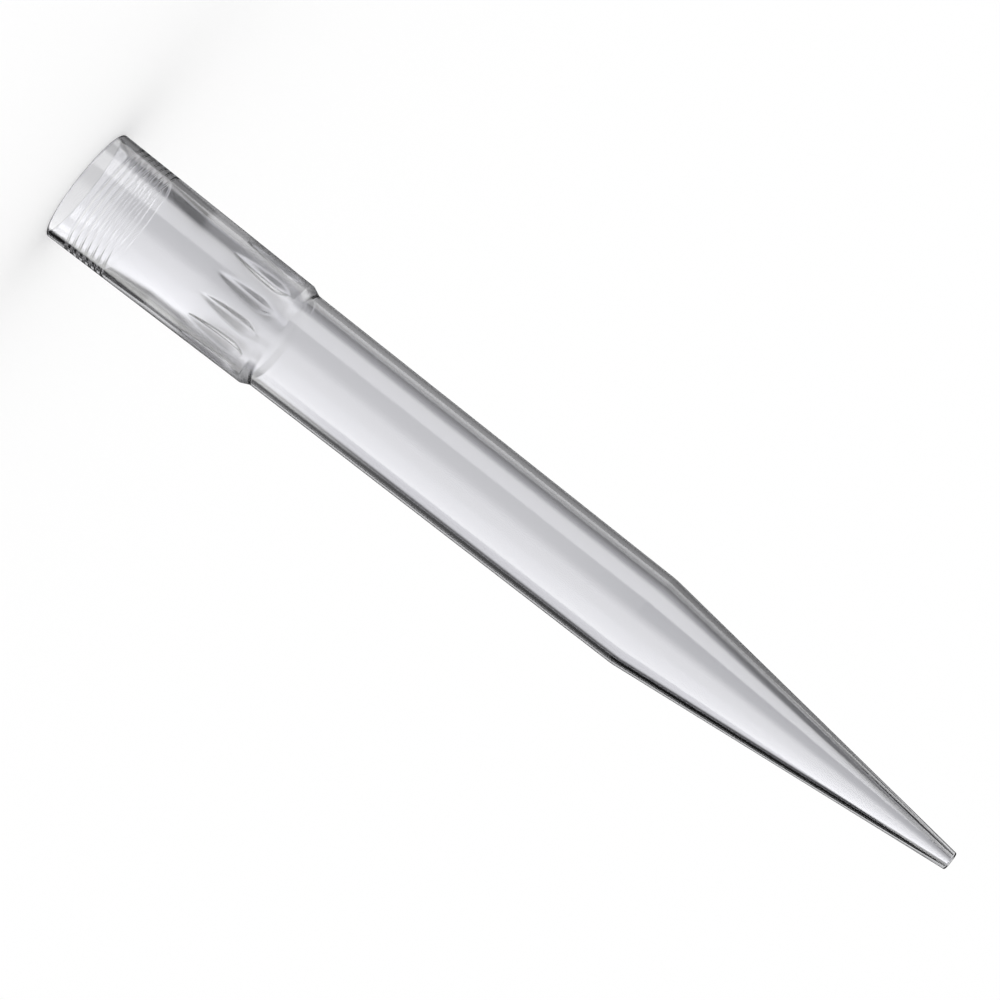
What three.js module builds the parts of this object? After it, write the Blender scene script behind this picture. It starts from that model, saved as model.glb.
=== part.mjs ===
// Pipette tip: one thin-walled moulding in clear polypropylene, open at both ends.
//
// It stands on its mouth rim. The origin is the centre of the rim face and +Z runs up the
// tip's axis to the point. From the rim up the outside is a tapered collar, a small shoulder,
// a long slender body, a knee and a cone that ends in the open point. From the rim up the
// inside is a socket with fine sealing rings, a neck with leaf-shaped centring ribs, the
// body's bore, and the cone's bore down to the orifice.
//
// Lengths are in millimetres and angles in degrees.

import * as THREE from 'three';

// Lengths along the axis, from the mouth rim up.
const COLLAR_LENGTH = 15.8; // mouth rim to the foot of the shoulder
const SHOULDER_LENGTH = 0.6; // sloping step from the collar to the body
const BODY_LENGTH = 29.6; // shoulder to knee
const CONE_LENGTH = 25; // knee to the open point

// Bore: the body's bore leads, and the neck and the socket open out from it to the mouth.
const BODY_BORE = 6.36; // diameter where the body meets the shoulder
const BODY_DRAFT = 0.33; // each side, narrowing to the knee
const NECK_DRAFT = 0.3; // each side, from the shoulder back to the socket
const SOCKET_DEPTH = 7.7; // seat for the pipette's nose, from the mouth rim
const SOCKET_TAPER = 4; // each side
const ORIFICE = 0.7; // diameter of the hole in the point

// Walls: the outside stands off the bore by these.
const MOUTH_WALL = 0.34;
const COLLAR_WALL = 0.72; // at the foot of the shoulder, the thickest place
const BODY_WALL = 0.44; // at the shoulder
const KNEE_WALL = 0.4;
const POINT_WALL = 0.3;

// Rounded edges of the rim and of the point.
const RIM_ROUND = 0.08;
const POINT_ROUND = 0.1;

// Sealing rings: low beads round the socket.
const RING_COUNT = 7;
const RING_PITCH = 0.475;
const FIRST_RING_HEIGHT = 1.57; // mouth rim to the middle of the first ring
const RING_WIDTH = 0.24;
const RING_RISE = 0.05;

// Centring ribs: slim ridges along the neck, each in the shape of a leaf. The crest rises out
// of the wall in a long parabola and drops back in a short one just under the shoulder.
const RIB_COUNT = 12;
const RIB_WIDTH = 0.98; // at the wall, where the rib is highest
const RIB_RISE = 0.26; // greatest height over the wall
const RIB_CREST_ROUND = 0.1; // softening of the crest between two straight flanks
const RIB_LENGTH = 4.5;
const RIB_END_LENGTH = 1.1; // the short drop's share of that length
const RIB_SETBACK = 0.55; // upper end of the rib to the foot of the shoulder

// Fineness of the faceting.
const COLUMNS_PER_RIB = 8;
const RIB_POINT_ROWS = 5;
const RIB_END_ROWS = 3;
const ROUND_ROWS = 2;

const QUARTER_TURN = Math.PI / 2;
const slope = (degrees) => Math.tan(THREE.MathUtils.degToRad(degrees));

// Heights above the rim face.
const bodyHeight = COLLAR_LENGTH + SHOULDER_LENGTH;
const kneeHeight = bodyHeight + BODY_LENGTH;
const tipLength = kneeHeight + CONE_LENGTH;
const ribEndHeight = COLLAR_LENGTH - RIB_SETBACK;
const ribStartHeight = ribEndHeight - RIB_LENGTH;
const ribCrestHeight = ribEndHeight - RIB_END_LENGTH;

// Bore radii, from the shoulder both ways.
const bodyBoreRadius = BODY_BORE / 2;
const kneeBoreRadius = bodyBoreRadius - BODY_LENGTH * slope(BODY_DRAFT);
const orificeRadius = ORIFICE / 2;
const socketFootRadius = bodyBoreRadius + (bodyHeight - SOCKET_DEPTH) * slope(NECK_DRAFT);
const mouthBoreRadius = socketFootRadius + SOCKET_DEPTH * slope(SOCKET_TAPER);

// Outside radii.
const mouthRadius = mouthBoreRadius + MOUTH_WALL;
const collarEndRadius = neckRadius(COLLAR_LENGTH) + COLLAR_WALL;
const bodyRadius = bodyBoreRadius + BODY_WALL;
const kneeRadius = kneeBoreRadius + KNEE_WALL;
const pointRadius = orificeRadius + POINT_WALL;

// Plain radius of the socket's wall at a height above the rim.
function socketRadius(height) {
  return socketFootRadius + (SOCKET_DEPTH - height) * slope(SOCKET_TAPER);
}

// Plain radius of the neck's wall, between the socket and the body's bore.
function neckRadius(height) {
  return bodyBoreRadius + (bodyHeight - height) * slope(NECK_DRAFT);
}

// Points of a quarter round from one tangent point to the other: `corner` is the sharp
// corner it replaces, and `back` and `onward` are the unit steps from that corner to them.
function quarterRound(corner, back, onward, radius) {
  const points = [];
  for (let row = 0; row <= ROUND_ROWS; row += 1) {
    const angle = QUARTER_TURN * row / ROUND_ROWS;
    const point = corner.clone();
    point.addScaledVector(back, radius * (1 - Math.sin(angle)));
    point.addScaledVector(onward, radius * (1 - Math.cos(angle)));
    points.push(point);
  }
  return points;
}

const OUTWARD = new THREE.Vector2(1, 0);
const INWARD = new THREE.Vector2(-1, 0);
const UP = new THREE.Vector2(0, 1);
const DOWN = new THREE.Vector2(0, -1);

// Outside of the tip as (radius, height) points, from the rim face up to the point's face.
function outsideProfile() {
  return [
    ...quarterRound(new THREE.Vector2(mouthRadius, 0), INWARD, UP, RIM_ROUND),
    new THREE.Vector2(collarEndRadius, COLLAR_LENGTH),
    new THREE.Vector2(bodyRadius, bodyHeight),
    new THREE.Vector2(kneeRadius, kneeHeight),
    ...quarterRound(new THREE.Vector2(pointRadius, tipLength), DOWN, INWARD, POINT_ROUND),
  ];
}

// Sealing rings, from the deepest back to the mouth: each bead has a foot, a crest and a foot.
function ringProfile() {
  const points = [];
  for (let ring = RING_COUNT - 1; ring >= 0; ring -= 1) {
    const height = FIRST_RING_HEIGHT + ring * RING_PITCH;
    const upperFoot = height + RING_WIDTH / 2;
    const lowerFoot = height - RING_WIDTH / 2;
    points.push(new THREE.Vector2(socketRadius(upperFoot), upperFoot));
    points.push(new THREE.Vector2(socketRadius(height) - RING_RISE, height));
    points.push(new THREE.Vector2(socketRadius(lowerFoot), lowerFoot));
  }
  return points;
}

// Heights of the rows that draw the ribs, from their upper ends back to their lower ones.
function ribRowHeights() {
  const heights = [];
  for (let row = 0; row < RIB_END_ROWS; row += 1) {
    heights.push(ribEndHeight - RIB_END_LENGTH * row / RIB_END_ROWS);
  }
  for (let row = RIB_POINT_ROWS; row >= 0; row -= 1) {
    const share = row / RIB_POINT_ROWS;
    heights.push(ribStartHeight + share * (ribCrestHeight - ribStartHeight));
  }
  return heights;
}

// Inside of the tip, from the orifice back down to the rim face, with the ribs left out.
function boreProfile() {
  return [
    new THREE.Vector2(orificeRadius, tipLength),
    new THREE.Vector2(kneeBoreRadius, kneeHeight),
    new THREE.Vector2(bodyBoreRadius, bodyHeight),
    ...ribRowHeights().map((height) => new THREE.Vector2(neckRadius(height), height)),
    new THREE.Vector2(socketFootRadius, SOCKET_DEPTH),
    ...ringProfile(),
    ...quarterRound(new THREE.Vector2(mouthBoreRadius, 0), UP, OUTWARD, RIM_ROUND),
  ];
}

// Height of a rib's crest over the wall: one parabola up to the highest place, one down from it.
function ribRise(height) {
  const below = (ribCrestHeight - height) / (ribCrestHeight - ribStartHeight);
  const above = (height - ribCrestHeight) / RIB_END_LENGTH;
  const offCrest = Math.min(1, Math.max(below, above));
  return RIB_RISE * (1 - offCrest * offCrest);
}

// Drop of a rib's flank at a distance across from its crest, as a share of the greatest drop.
function flankDrop(across) {
  const drop = (distance) => Math.hypot(distance, RIB_CREST_ROUND) - RIB_CREST_ROUND;
  return drop(across) / drop(RIB_WIDTH / 2);
}

// Radius of the neck's wall with its ribs, at a height and at an angle round the axis: the
// nearer of wall and rib is what shows.
function ribbedRadius(height, angle) {
  const spacing = 2 * Math.PI / RIB_COUNT;
  const offCentre = THREE.MathUtils.euclideanModulo(angle, spacing) - spacing / 2;
  const wall = neckRadius(height);
  const rib = wall - ribRise(height) + RIB_RISE * flankDrop(wall * Math.sin(offCentre));
  return Math.min(wall, rib);
}

// The whole moulding: the closed profile turned round the axis, then the neck's rows drawn
// in to the ribs.
function tipGeometry() {
  const outside = outsideProfile();
  const profile = [...outside, ...boreProfile(), outside[0].clone()];
  const columns = RIB_COUNT * COLUMNS_PER_RIB;
  const geometry = new THREE.LatheGeometry(profile, columns);
  geometry.rotateX(QUARTER_TURN);

  const position = geometry.getAttribute('position');
  for (let index = 0; index < position.count; index += 1) {
    const row = index % profile.length;
    const height = profile[row].y;
    const inNeck = row >= outside.length && height > SOCKET_DEPTH && height < bodyHeight;
    if (inNeck) {
      const angle = 2 * Math.PI * Math.floor(index / profile.length) / columns;
      const radius = ribbedRadius(height, angle);
      position.setXY(index, radius * Math.sin(angle), -radius * Math.cos(angle));
    }
  }
  geometry.computeVertexNormals();
  return geometry;
}

const clearPolypropylene = new THREE.MeshStandardMaterial({
  color: 0xdfe3e6,
  roughness: 0.15,
  metalness: 0,
  transparent: true,
  opacity: 0.45,
});

const tip = new THREE.Mesh(tipGeometry(), clearPolypropylene);
tip.name = 'pipette_tip';

const model = new THREE.Group();
model.add(tip);

export default model;
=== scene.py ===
"""Looks of a clear plastic pipette tip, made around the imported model.

The tip is one injection moulding, so it is one surface: a closed profile turned round the
axis, with sealing rings in the socket and centring ribs in the neck. It stands on its mouth
rim, and its axis is Z. Profiles are worked out in millimetres and put into the mesh in metres.
"""

import math

import bpy
import numpy as np
from mathutils import Matrix, Vector


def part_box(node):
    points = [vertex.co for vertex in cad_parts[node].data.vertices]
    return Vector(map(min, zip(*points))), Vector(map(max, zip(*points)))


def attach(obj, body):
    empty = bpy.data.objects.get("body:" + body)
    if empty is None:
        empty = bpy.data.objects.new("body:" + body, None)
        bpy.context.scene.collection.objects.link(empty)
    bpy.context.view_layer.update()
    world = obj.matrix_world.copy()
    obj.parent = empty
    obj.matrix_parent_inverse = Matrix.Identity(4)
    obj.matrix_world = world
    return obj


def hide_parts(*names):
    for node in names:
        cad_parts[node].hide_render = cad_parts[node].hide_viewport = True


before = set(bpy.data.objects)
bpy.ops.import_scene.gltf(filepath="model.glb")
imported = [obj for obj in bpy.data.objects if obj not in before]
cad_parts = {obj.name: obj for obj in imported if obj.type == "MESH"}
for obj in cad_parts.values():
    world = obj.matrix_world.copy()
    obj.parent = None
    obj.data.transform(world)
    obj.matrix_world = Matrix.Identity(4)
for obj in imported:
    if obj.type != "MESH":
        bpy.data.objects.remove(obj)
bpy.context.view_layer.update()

MM = 0.001

# The tip's own sizes, in millimetres and degrees. Its length and its mouth come from the frame.
TIP_FOOT, TIP_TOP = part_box("pipette_tip")
TIP_LENGTH = (TIP_TOP.z - TIP_FOOT.z) / MM
MOUTH_RADIUS = TIP_TOP.x / MM
COLLAR_LENGTH = 15.8
SHOULDER_LENGTH = 0.6
BODY_LENGTH = 29.6
BODY_BORE = 6.36
BODY_DRAFT = 0.33
NECK_DRAFT = 0.3
SOCKET_DEPTH = 7.7
SOCKET_TAPER = 4
ORIFICE = 0.7
COLLAR_WALL = 0.72
BODY_WALL = 0.44
KNEE_WALL = 0.4
POINT_WALL = 0.3

# Sealing rings in the socket, and centring ribs in the neck.
RING_COUNT = 7
RING_PITCH = 0.475
FIRST_RING_HEIGHT = 1.57
RING_WIDTH = 0.24
RING_RISE = 0.05
RIB_COUNT = 12
RIB_WIDTH = 0.98
RIB_RISE = 0.26
RIB_CREST_ROUND = 0.1
RIB_LENGTH = 4.5
RIB_END_LENGTH = 1.1
RIB_SETBACK = 0.55
RIB_FILLET = 0.04

# How rough the mould's steel leaves the plastic, and the heights in millimetres between which
# it turns matt and turns clear again.
GLOSS = 0.02
MATT = 0.18
MATT_START, MATT_FULL = 9.8, 11.5
MATT_FADE, MATT_END = 16.3, 16.5

# Radii of the rounded edges, in millimetres.
RIM_ROUND = 0.14
SHOULDER_ROUND = 0.3
KNEE_ROUND = 6
SOCKET_ROUND = 12
POINT_ROUND = 0.1
ORIFICE_ROUND = 0.05

# Fineness of the surface. A straight is long from LONG_STRAIGHT millimetres on, and HOLD is how
# far from its ends the rows lie that keep it true.
COLUMNS_PER_RIB = 28
COLUMNS = RIB_COUNT * COLUMNS_PER_RIB
ROUND_STEPS = 8
ROWS_PER_RING = 14
RIB_ROWS = 64
LONG_STRAIGHT = 0.2
HOLD = 0.01

BODY_HEIGHT = COLLAR_LENGTH + SHOULDER_LENGTH
KNEE_HEIGHT = BODY_HEIGHT + BODY_LENGTH
RIB_END_HEIGHT = COLLAR_LENGTH - RIB_SETBACK
RIB_START_HEIGHT = RIB_END_HEIGHT - RIB_LENGTH
RIB_CREST_HEIGHT = RIB_END_HEIGHT - RIB_END_LENGTH


def slope(degrees):
    """Change of radius for each millimetre of height: the tangent of a wall's angle."""
    return math.tan(math.radians(degrees))


BODY_BORE_RADIUS = BODY_BORE / 2
KNEE_BORE_RADIUS = BODY_BORE_RADIUS - BODY_LENGTH * slope(BODY_DRAFT)
SOCKET_FOOT_RADIUS = BODY_BORE_RADIUS + (BODY_HEIGHT - SOCKET_DEPTH) * slope(NECK_DRAFT)


def socket_radius(height):
    """Radius of the socket's plain wall: a straight taper from its foot out to the mouth."""
    return SOCKET_FOOT_RADIUS + (SOCKET_DEPTH - height) * slope(SOCKET_TAPER)


def neck_radius(height):
    """Radius of the neck's plain wall: a slight taper from the body's bore out to the socket."""
    return BODY_BORE_RADIUS + (BODY_HEIGHT - height) * slope(NECK_DRAFT)


def rounded(corners, radii):
    """A line through corners, with each corner but the first and last turned into an arc.

    The arc of radius r leaves the corner's two sides at r * tan(turn / 2) from the corner, and
    its points lie at even steps of angle round a centre on the corner's bisector.
    """
    corners = [np.array(corner, float) for corner in corners]
    points = [corners[0][None, :]]
    for before, corner, after, radius in zip(corners, corners[1:], corners[2:], radii):
        arriving = (corner - before) / np.linalg.norm(corner - before)
        leaving = (after - corner) / np.linalg.norm(after - corner)
        turn = math.acos(np.clip(arriving @ leaving, -1, 1))
        reach = radius * math.tan(turn / 2)
        side = np.sign(arriving[0] * leaving[1] - arriving[1] * leaving[0])
        across = side * np.array([-arriving[1], arriving[0]])
        centre = corner - arriving * reach + across * radius
        angle = np.linspace(0, turn, ROUND_STEPS + 1)[:, None]
        points.append(centre - across * radius * np.cos(angle) + arriving * radius * np.sin(angle))
    points.append(corners[-1][None, :])
    return np.concatenate(points)


def held(profile):
    """Adds a row close to each end of every long straight.

    The shading of a rounded edge is shared with the next row. The rows added here lie a small
    step from the straight's ends, so the edge's shading stops there and the straight stays true.
    """
    onward = np.roll(profile, -1, axis=0) - profile
    length = np.linalg.norm(onward, axis=1)[:, None]
    step = HOLD / length
    rows = np.stack([profile, profile + onward * step, profile + onward * (1 - step)], axis=1)
    is_long = length[:, 0] > LONG_STRAIGHT
    wanted = np.stack([np.ones_like(is_long), is_long, is_long], axis=1)
    return rows[wanted]


def outside_profile():
    """Outside as (radius, height): rim, collar, shoulder, slender body, knee, cone and point."""
    point_radius = ORIFICE / 2 + POINT_WALL
    mouth_bore = socket_radius(0)
    corners = [
        ((MOUTH_RADIUS + mouth_bore) / 2, 0),
        (MOUTH_RADIUS, 0),
        (neck_radius(COLLAR_LENGTH) + COLLAR_WALL, COLLAR_LENGTH),
        (BODY_BORE_RADIUS + BODY_WALL, BODY_HEIGHT),
        (KNEE_BORE_RADIUS + KNEE_WALL, KNEE_HEIGHT),
        (point_radius, TIP_LENGTH),
        ((point_radius + ORIFICE / 2) / 2, TIP_LENGTH),
    ]
    radii = [RIM_ROUND, SHOULDER_ROUND, SHOULDER_ROUND, KNEE_ROUND, POINT_ROUND]
    return rounded(corners, radii)


def ring_rows():
    """Socket wall with its sealing rings: the plain taper less a raised cosine at each ring."""
    lowest = FIRST_RING_HEIGHT - RING_PITCH / 2
    highest = lowest + RING_COUNT * RING_PITCH
    height = np.linspace(highest, lowest, RING_COUNT * ROWS_PER_RING + 1)
    off_centre = (height - lowest) % RING_PITCH - RING_PITCH / 2
    on_ring = np.abs(off_centre) < RING_WIDTH / 2
    bead = np.where(on_ring, (1 + np.cos(2 * np.pi * off_centre / RING_WIDTH)) / 2, 0)
    return np.column_stack([socket_radius(height) - RING_RISE * bead, height])


def bore_profile():
    """Inside as (radius, height), from the point down to the rim, with the ribs left out."""
    to_neck = rounded(
        [
            ((ORIFICE + POINT_WALL) / 2, TIP_LENGTH),
            (ORIFICE / 2, TIP_LENGTH),
            (KNEE_BORE_RADIUS, KNEE_HEIGHT),
            (BODY_BORE_RADIUS, BODY_HEIGHT),
            (neck_radius(RIB_END_HEIGHT), RIB_END_HEIGHT),
        ],
        [ORIFICE_ROUND, KNEE_ROUND, KNEE_ROUND],
    )
    rib_height = np.linspace(RIB_END_HEIGHT, RIB_START_HEIGHT, RIB_ROWS)
    ribs = np.column_stack([neck_radius(rib_height), rib_height])
    rings = ring_rows()
    to_rings = rounded(
        [ribs[-1], (SOCKET_FOOT_RADIUS, SOCKET_DEPTH), rings[0]],
        [SOCKET_ROUND],
    )
    mouth_bore = socket_radius(0)
    to_rim = rounded(
        [rings[-1], (mouth_bore, 0), ((MOUTH_RADIUS + mouth_bore) / 2, 0)],
        [RIM_ROUND],
    )
    return np.concatenate([to_neck[1:-1], ribs, to_rings[1:-1], rings, to_rim[1:-1]])


def rib_rise(height):
    """Height of a rib's crest over the wall: one parabola up to the highest place, one down."""
    below = (RIB_CREST_HEIGHT - height) / (RIB_CREST_HEIGHT - RIB_START_HEIGHT)
    above = (height - RIB_CREST_HEIGHT) / RIB_END_LENGTH
    return RIB_RISE * (1 - np.minimum(np.maximum(below, above), 1) ** 2)


def flank_drop(across):
    """Drop of a rib's flank at a distance across from its crest, as a share of the greatest.

    The drop is a hyperbola: the root of distance squared plus softening squared, less the
    softening. It is straight but for the crest.
    """
    drop = np.hypot(across, RIB_CREST_ROUND) - RIB_CREST_ROUND
    greatest = math.hypot(RIB_WIDTH / 2, RIB_CREST_ROUND) - RIB_CREST_ROUND
    return drop / greatest


def with_ribs(radius, height, angle):
    """Radius of the surface with the ribs drawn in, on a grid of heights and angles.

    In the neck, the surface is the smooth least of rib and wall, which leaves a small fillet
    between them. Rows further out than the middle of the collar's wall belong to the outside,
    and stay plain.
    """
    spacing = 2 * np.pi / RIB_COUNT
    off_centre = angle % spacing - spacing / 2
    among_ribs = (height > RIB_START_HEIGHT) & (height < RIB_END_HEIGHT)
    in_neck = among_ribs & (radius < neck_radius(height) + COLLAR_WALL / 2)
    rib = radius - rib_rise(height) + RIB_RISE * flank_drop(radius * np.sin(off_centre))
    overlap = np.clip((RIB_FILLET - np.abs(rib - radius)) / RIB_FILLET, 0, 1)
    nearest = np.minimum(rib, radius) - overlap**2 * RIB_FILLET / 4
    return np.where(in_neck, nearest, radius)


def turned_surface(name, profile, columns):
    """A closed profile turned round Z, with the ribs drawn in.

    Vertex (row, column) lies at angle 2 * pi * column / columns from the -Y side, at the row's
    height and at the radius that with_ribs gives there. Quads join each row to the next.
    """
    rows = len(profile)
    angle = np.arange(columns) * (2 * np.pi / columns)
    height = np.repeat(profile[:, 1:2], columns, axis=1)
    radius = with_ribs(np.repeat(profile[:, 0:1], columns, axis=1), height, angle[None, :])
    place = np.stack([radius * np.sin(angle), -radius * np.cos(angle), height], axis=-1)
    vertices = place.reshape(-1, 3) * MM

    row, column = np.meshgrid(np.arange(rows), np.arange(columns), indexing="ij")
    next_row, next_column = (row + 1) % rows, (column + 1) % columns
    corners = [
        row * columns + column,
        row * columns + next_column,
        next_row * columns + next_column,
        next_row * columns + column,
    ]
    faces = np.stack(corners, axis=-1).reshape(-1, 4)

    mesh = bpy.data.meshes.new(name)
    mesh.from_pydata(vertices.tolist(), [], faces.tolist())
    mesh.polygons.foreach_set("use_smooth", np.ones(len(faces), bool))
    mesh.update()
    piece = bpy.data.objects.new(name, mesh)
    bpy.context.scene.collection.objects.link(piece)
    return piece


def linear(hex_colour):
    """An sRGB hex colour as a linear RGBA tuple."""
    channels = [int(hex_colour[i : i + 2], 16) / 255 for i in (1, 3, 5)]
    curve = [c / 12.92 if c <= 0.04045 else ((c + 0.055) / 1.055) ** 2.4 for c in channels]
    return (*curve, 1.0)


def add_node(tree, kind, settings=None, links=None):
    """Adds a node, sets its properties and socket values, and links its inputs.

    A link comes from an output, or from a node, which then stands for its first output.
    """
    node = tree.nodes.new(kind)
    for key, value in (settings or {}).items():
        if isinstance(key, str) and hasattr(node, key):
            setattr(node, key, value)
        else:
            node.inputs[key].default_value = value
    for key, source in (links or {}).items():
        if isinstance(key, str):
            socket = next(s for s in node.inputs if s.name == key and s.enabled)
        else:
            socket = node.inputs[key]
        tree.links.new(socket, getattr(source, "outputs", [source])[0])
    return node


def change(start, end, first, last, shape="SMOOTHSTEP"):
    """Settings for a value that runs from first to last while another runs from start to end."""
    return {"interpolation_type": shape, "From Min": start, "From Max": end,
            "To Min": first, "To Max": last}


def clear_polypropylene():
    """Clear polypropylene, injection moulded against steel.

    The steel is polished nearly everywhere, which gives the eye sharp bands of light and dark.
    Round the ribs it is finely stoned. There the plastic spreads what is seen through it, so
    the ribs show as soft grey leaves and the shoulder has no hard glints.
    """
    material = bpy.data.materials.new("clear polypropylene, injection moulded")
    material.use_nodes = True
    tree = material.node_tree
    tree.nodes.clear()
    place = add_node(tree, "ShaderNodeTexCoord").outputs["Object"]
    height = add_node(tree, "ShaderNodeSeparateXYZ", links={"Vector": place}).outputs["Z"]
    rising = add_node(tree, "ShaderNodeMapRange",
                      change(MATT_START * MM, MATT_FULL * MM, GLOSS, MATT), {"Value": height})
    falling = add_node(tree, "ShaderNodeMapRange",
                       change(MATT_FADE * MM, MATT_END * MM, MATT, GLOSS), {"Value": height})
    roughness = add_node(tree, "ShaderNodeMath", {"operation": "MINIMUM"},
                         {0: rising, 1: falling})
    plastic = add_node(tree, "ShaderNodeBsdfPrincipled", {
        "Base Color": linear("#f4f4f7"),
        "IOR": 1.49,
        "Transmission Weight": 1.0,
    }, {"Roughness": roughness})
    add_node(tree, "ShaderNodeOutputMaterial", links={"Surface": plastic})
    return material


def make_tip():
    """The moulding: outside and bore joined into one closed profile, turned round the axis."""
    profile = held(np.concatenate([outside_profile()[:-1], bore_profile()]))
    tip = turned_surface("tip_moulding", profile, COLUMNS)
    tip.data.materials.append(clear_polypropylene())
    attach(tip, "root")
    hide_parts("pipette_tip")


# The camera: a long lens a metre off and a little above, rolled so that the tip lies across
# the frame from upper left to lower right. The first two sizes are in metres. The slant is in
# degrees. The frame's width at the tip, and how far the tip's middle lies right of the frame's
# middle and below it, are in millimetres.
CAMERA_DISTANCE = 1.0
CAMERA_HEIGHT = 0.171
TIP_SLANT = 38.04
FRAME_WIDTH = 64.1
MIDDLE_RIGHT = 1.04
MIDDLE_DOWN = 1.39


def make_camera():
    """The camera, looking at the frame's middle.

    The frame's right and up are the tip's own up and left, as the camera sees them, turned by
    the slant. The lens is the sensor's width times the distance over the frame's width.
    """
    data = bpy.data.cameras.new("camera")
    camera = bpy.data.objects.new("camera", data)
    bpy.context.scene.collection.objects.link(camera)
    bpy.context.scene.camera = camera

    middle = (TIP_FOOT + TIP_TOP) / 2
    place = Vector((0, -CAMERA_DISTANCE, CAMERA_HEIGHT))
    gaze = (middle - place).normalized()
    tip_right = gaze.cross(Vector((0, 0, 1))).normalized()
    tip_up = tip_right.cross(gaze)
    slant = math.radians(TIP_SLANT)
    right = math.cos(slant) * tip_up - math.sin(slant) * tip_right
    up = -math.sin(slant) * tip_up - math.cos(slant) * tip_right
    aim = middle - (right * MIDDLE_RIGHT - up * MIDDLE_DOWN) * MM
    back = (place - aim).normalized()
    right = (right - back * right.dot(back)).normalized()
    turn = Matrix((right, back.cross(right), back)).transposed()
    camera.matrix_world = Matrix.Translation(place) @ turn.to_4x4()
    data.lens = data.sensor_width * (middle - place).length / (FRAME_WIDTH * MM)


# The studio round the tip. Azimuths are in degrees clockwise from straight behind it, +Y
# towards +X. Each row tells where a panel starts, where it is full, where it starts to fade
# and where it ends, then its level at the two full ends and the elevation of its upper edge.
#
# The plastic lets the screens through. Wherever no screen stands there is a dark card. It is
# black in a strip at the tip's own level, grows lighter above and below that strip, and glows
# a little on the left.
#
# The softboxes stand beside the tip and on the camera's side of it. The gloss mirrors them.
#
# Azimuths run on from SEAM for a full turn, so that a row may cross the straight behind.
SEAM = 30
FULL_TURN = 360
ZENITH = 90
SCREENS = [
    (75, 83, 132, 140, 1.0, 1.0, 30),
    (132, 140, 222, 230, 0.6, 0.6, 30),
    (222, 230, 290, 298, 1.0, 0.6, 30),
    (348, 355, 373, 382, 0.5, 1.0, 30),
]
CARD_GLOW = [
    (290, 298, 312, 318, 0.2, 0.2, -6),
    (312, 318, 334, 340, 0.25, 0.25, ZENITH),
    (334, 340, 348, 355, 0.12, 0.12, ZENITH),
]
SOFTBOXES = [
    (50, 62, 91, 99, 5.0, 5.0, -8.1),
    (91, 99, 165, 195, 5.0, 5.0, 60),
    (165, 195, 216, 224, 1.8, 1.8, -6.5),
    (216, 224, 249, 262, 5.0, 5.0, 60),
    (278, 286, 299, 307, 2.6, 2.6, 60),
]
EDGE_HEIGHT = 0.8  # degrees over which a panel's upper edge fades

# Elevations at which the card starts to darken, is black, starts to lighten and has lightened.
CARD_FOOT, CARD_LOW, CARD_HIGH, CARD_HEAD = -16, -6.3, 6, 14
CARD_EDGE_LEVEL, CARD_LEVEL = 0.5, 0.01

# The backdrop's white, and the light on everything that is neither clear nor glossy.
PLAIN_LIGHT = 1.0


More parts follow.
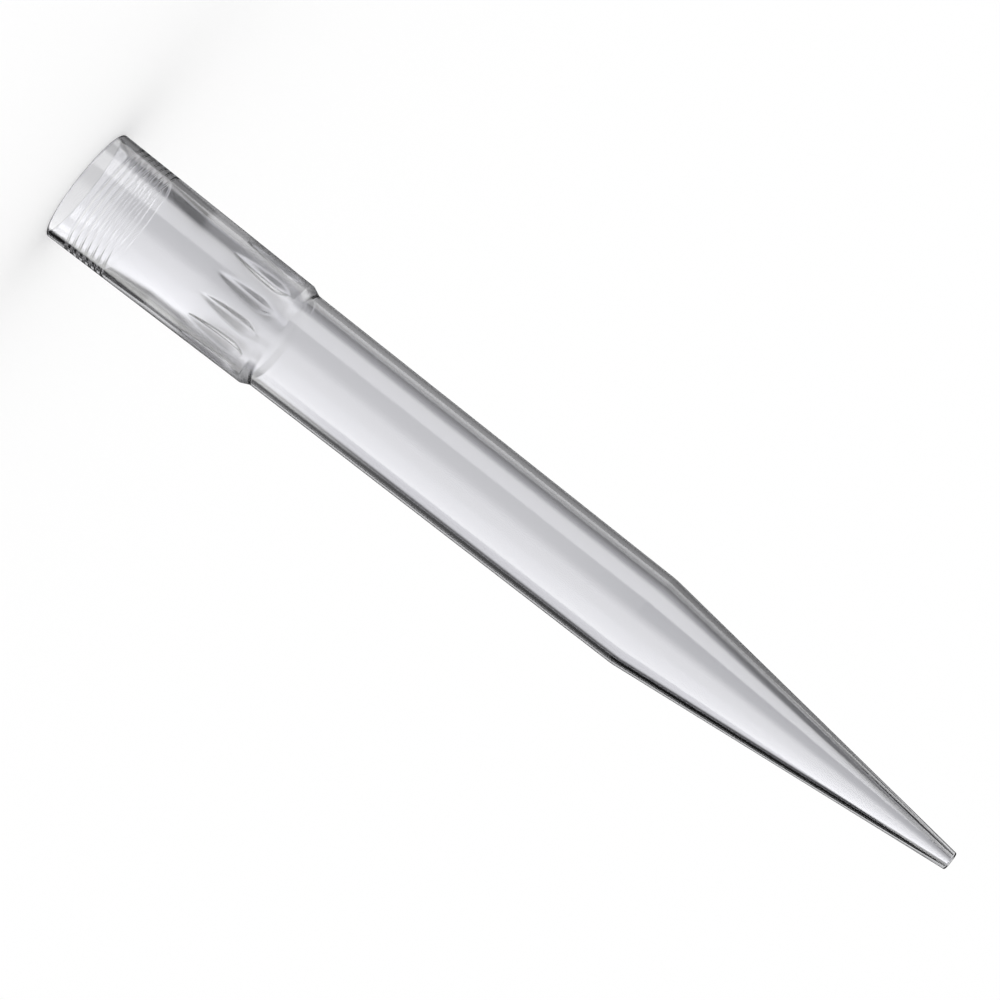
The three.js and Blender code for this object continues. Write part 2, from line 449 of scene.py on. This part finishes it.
def make_world():
    """The studio as one background, whose strength depends on a ray's direction and on its kind.

    A panel covers a direction by the product of three soft steps: in from its start, out to
    its end, and down from its upper edge. It gives that cover times its level. The card shows
    where the screens cover nothing.
    """
    world = bpy.data.worlds.new("studio")
    world.use_nodes = True
    bpy.context.scene.world = world
    tree = world.node_tree
    tree.nodes.clear()

    direction = add_node(tree, "ShaderNodeTexCoord").outputs["Generated"]
    part = add_node(tree, "ShaderNodeSeparateXYZ", links={"Vector": direction}).outputs
    turn = add_node(tree, "ShaderNodeMath", {"operation": "ARCTAN2"},
                    {0: part["X"], 1: part["Y"]})
    degrees = add_node(tree, "ShaderNodeMath", {"operation": "DEGREES"}, {0: turn})
    azimuth = add_node(tree, "ShaderNodeMath",
                       {"operation": "WRAP", 1: SEAM + FULL_TURN, 2: SEAM}, {0: degrees})
    rise = add_node(tree, "ShaderNodeMath", {"operation": "ARCSINE"}, {0: part["Z"]})
    elevation = add_node(tree, "ShaderNodeMath", {"operation": "DEGREES"}, {0: rise})

    def panels(rows):
        """How much of each direction the panels cover, and the light that they give there."""
        covered = light = add_node(tree, "ShaderNodeMath", {"operation": "MULTIPLY", 0: 0})
        for start, full, fade, end, first, last, top in rows:
            steps = [
                (azimuth, change(start, full, 0, 1)),
                (azimuth, change(fade, end, 1, 0)),
                (elevation, change(top - EDGE_HEIGHT / 2, top + EDGE_HEIGHT / 2, 1, 0)),
            ]
            near, far, below = (
                add_node(tree, "ShaderNodeMapRange", step, {"Value": value})
                for value, step in steps
            )
            between = add_node(tree, "ShaderNodeMath", {"operation": "MULTIPLY"},
                               {0: near, 1: far})
            shown = add_node(tree, "ShaderNodeMath", {"operation": "MULTIPLY"},
                             {0: between, 1: below})
            level = add_node(tree, "ShaderNodeMapRange",
                             change(full, fade, first, last, "LINEAR"), {"Value": azimuth})
            covered = add_node(tree, "ShaderNodeMath", {"operation": "ADD"},
                               {0: covered, 1: shown})
            light = add_node(tree, "ShaderNodeMath", {"operation": "MULTIPLY_ADD"},
                             {0: shown, 1: level, 2: light})
        return covered, light

    low, high = (
        add_node(tree, "ShaderNodeMapRange", change(*ends, "LINEAR"), {"Value": elevation})
        for ends in (
            (CARD_FOOT, CARD_LOW, CARD_EDGE_LEVEL, CARD_LEVEL),
            (CARD_HIGH, CARD_HEAD, CARD_LEVEL, CARD_EDGE_LEVEL),
        )
    )
    card = add_node(tree, "ShaderNodeMath", {"operation": "MAXIMUM"}, {0: low, 1: high})
    covered, screen_light = panels(SCREENS)
    _, glow = panels(CARD_GLOW)
    _, softboxes = panels(SOFTBOXES)
    bare = add_node(tree, "ShaderNodeMath", {"operation": "SUBTRACT", 0: 1}, {1: covered})
    behind = add_node(tree, "ShaderNodeMath", {"operation": "MULTIPLY_ADD"},
                      {0: bare, 1: card, 2: screen_light})
    screens = add_node(tree, "ShaderNodeMath", {"operation": "ADD"}, {0: behind, 1: glow})

    ray = add_node(tree, "ShaderNodeLightPath").outputs
    seen = add_node(tree, "ShaderNodeMix", {"data_type": "FLOAT"},
                    {"Factor": ray["Is Transmission Ray"], "A": softboxes, "B": screens})
    bent = add_node(tree, "ShaderNodeMath", {"operation": "MAXIMUM"},
                    {0: ray["Is Glossy Ray"], 1: ray["Is Transmission Ray"]})
    strength = add_node(tree, "ShaderNodeMix", {"data_type": "FLOAT", "A": PLAIN_LIGHT},
                        {"Factor": bent, "B": seen})
    background = add_node(tree, "ShaderNodeBackground", {"Color": linear("#ffffff")},
                          {"Strength": strength})
    add_node(tree, "ShaderNodeOutputWorld", links={"Surface": background})


# The floor: a wide disc of paper, in metres. It takes the tip's shadow, and the camera sees it
# lifted to the backdrop's white.
FLOOR_RADIUS = 2.2
FLOOR_SIDES = 96
PAPER = "#e7e7e7"
PAPER_LIFT = 0.2


def make_floor():
    """A flat disc of matt paper. The plastic neither mirrors it nor lets it through."""
    bpy.ops.mesh.primitive_circle_add(vertices=FLOOR_SIDES, radius=FLOOR_RADIUS, fill_type="NGON")
    floor = bpy.context.object
    floor.name = "floor"
    material = bpy.data.materials.new("matt white paper")
    material.use_nodes = True
    tree = material.node_tree
    tree.nodes.clear()
    paper = add_node(tree, "ShaderNodeBsdfDiffuse", {"Color": linear(PAPER)})
    seen = add_node(tree, "ShaderNodeLightPath").outputs["Is Camera Ray"]
    lift = add_node(tree, "ShaderNodeMath", {"operation": "MULTIPLY", 1: PAPER_LIFT}, {0: seen})
    glow = add_node(tree, "ShaderNodeEmission", links={"Strength": lift})
    both = add_node(tree, "ShaderNodeAddShader", links={0: paper, 1: glow})
    add_node(tree, "ShaderNodeOutputMaterial", links={"Surface": both})
    floor.data.materials.append(material)
    floor.visible_glossy = False
    floor.visible_transmission = False


make_camera()
make_world()
make_floor()
make_tip()

bpy.context.scene.view_settings.view_transform = "Standard"
